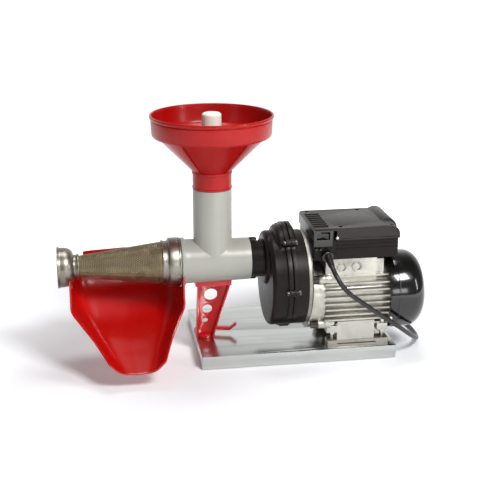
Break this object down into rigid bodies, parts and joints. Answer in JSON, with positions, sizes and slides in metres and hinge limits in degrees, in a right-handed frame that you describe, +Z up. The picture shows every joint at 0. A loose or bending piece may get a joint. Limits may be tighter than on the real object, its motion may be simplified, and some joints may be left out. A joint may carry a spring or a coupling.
{
  "type": "grape crusher destemmer",
  "caption": "Electric fruit mill with a red funnel, auger barrel and conical sieve over a red collecting tray, driven by a gear case and a finned motor on a stainless base tray",
  "frame": {"origin": "Centre of the base tray footprint, on the surface that the four feet stand on; the four screw bores in the feet are centred on it.", "axes": "+Z up, +X along the mill axis from the nozzle towards the motor, -Y towards the person who feeds the mill"},
  "size_m": [0.5692, 0.358, 0.382],
  "materials": {
    "stainless": "fine brushed stainless sheet",
    "steel": "turned steel",
    "zinc_steel": "zinc-plated fasteners",
    "dark_steel": "blackened fasteners",
    "tinned": "tinned perforated sheet",
    "nickel": "polished plating",
    "cast_aluminium": "die-cast, matt",
    "grey_enamel": "smooth light grey coating",
    "black_enamel": "satin black coating",
    "red_plastic": "glossy moulded",
    "red_paint": "gloss red",
    "black_plastic": "satin moulded",
    "black_rubber": "matt",
    "white_plastic": "food-grade, off-white",
    "pale_nylon": "moulded gear plastic",
    "brass": "machined",
    "core_steel": "laminated core",
    "copper_enamel": "enamelled wire"
  },
  "bodies": {
    "base": {"base_tray": "stainless", "rubber_feet": "black_rubber", "plinth_rails": "cast_aluminium", "motor_foot_bolts": "zinc_steel", "motor_housing": "cast_aluminium", "front_shield": "cast_aluminium", "shield_bolts": "dark_steel", "rear_shield": "cast_aluminium", "stator_core": "core_steel", "stator_windings": "copper_enamel", "motor_bearings": "steel", "fan_cowl": "black_enamel", "cowl_screws": "zinc_steel", "terminal_box_base": "black_plastic", "terminal_box_lid": "black_plastic", "lid_screws": "zinc_steel", "start_capacitor": "white_plastic", "switch_housing": "black_plastic", "cable_gland": "black_plastic", "strain_relief": "black_rubber", "gear_case_front": "black_plastic", "gear_case_rear": "black_plastic", "gear_case_bolts": "dark_steel", "case_back_plate": "cast_aluminium", "plate_gasket": "black_rubber", "countershaft_bushes": "brass", "output_bushes": "brass", "shaft_seal": "black_rubber", "collar_screws": "zinc_steel", "mill_body": "grey_enamel", "sieve_cone": "tinned", "sieve_collar": "tinned", "waste_nozzle": "nickel", "collecting_tray": "red_plastic", "support_bracket": "red_paint", "bracket_foot_screw": "zinc_steel", "power_cord": "black_rubber", "cord_coil": "black_rubber", "coil_tie": "black_plastic", "plug_body": "black_rubber", "plug_pins": "brass"},
    "rotor": {"rotor_shaft": "steel", "rotor_core": "core_steel", "cooling_fan": "black_plastic", "motor_pinion": "steel"},
    "countershaft": {"countershaft": "steel", "countershaft_wheel": "pale_nylon", "countershaft_pinion": "steel"},
    "auger": {"output_wheel": "pale_nylon", "output_shaft": "steel", "auger_screw": "white_plastic", "auger_shank": "steel"},
    "rocker": {"switch_rocker": "black_plastic"},
    "ring_nut": {"ring_nut": "nickel"},
    "pestle": {"pestle": "white_plastic"},
    "funnel": {"funnel": "red_plastic"},
    "lever": {"clamp_lever": "red_paint"}
  },
  "joints": [
    {"name": "rotor_spin", "type": "hinge", "parent": "base", "child": "rotor", "pos_m": [0, -0.05, 0.097], "axis": [1, 0, 0], "continuous": true},
    {"name": "countershaft_spin", "type": "hinge", "parent": "base", "child": "countershaft", "pos_m": [0, -0.02004, 0.11307], "axis": [1, 0, 0], "continuous": true},
    {"name": "auger_spin", "type": "hinge", "parent": "base", "child": "auger", "pos_m": [0, -0.05, 0.158], "axis": [1, 0, 0], "continuous": true},
    {"name": "switch_rock", "type": "hinge", "parent": "base", "child": "rocker", "pos_m": [0.0315, -0.088, 0.202], "axis": [0, 0, 1], "range_deg": [0, 12]},
    {"name": "ring_nut_turn", "type": "hinge", "parent": "base", "child": "ring_nut", "pos_m": [-0.185, -0.05, 0.158], "axis": [1, 0, 0], "range_deg": [-60, 60]},
    {"name": "pestle_slide", "type": "slide", "parent": "base", "child": "pestle", "axis": [0, 0, 1], "range_m": [0, 0.2]},
    {"name": "funnel_lift", "type": "slide", "parent": "base", "child": "funnel", "axis": [0, 0, 1], "range_m": [0, 0.06]},
    {"name": "lever_turn", "type": "hinge", "parent": "base", "child": "lever", "pos_m": [-0.135, 0, 0.03], "axis": [0, 0, 1], "range_deg": [0, 75]}
  ],
  "couplings": [
    {"joint": "countershaft_spin", "follows": "rotor_spin", "ratio": -0.21429},
    {"joint": "auger_spin", "follows": "rotor_spin", "ratio": 0.061224}
  ]
}
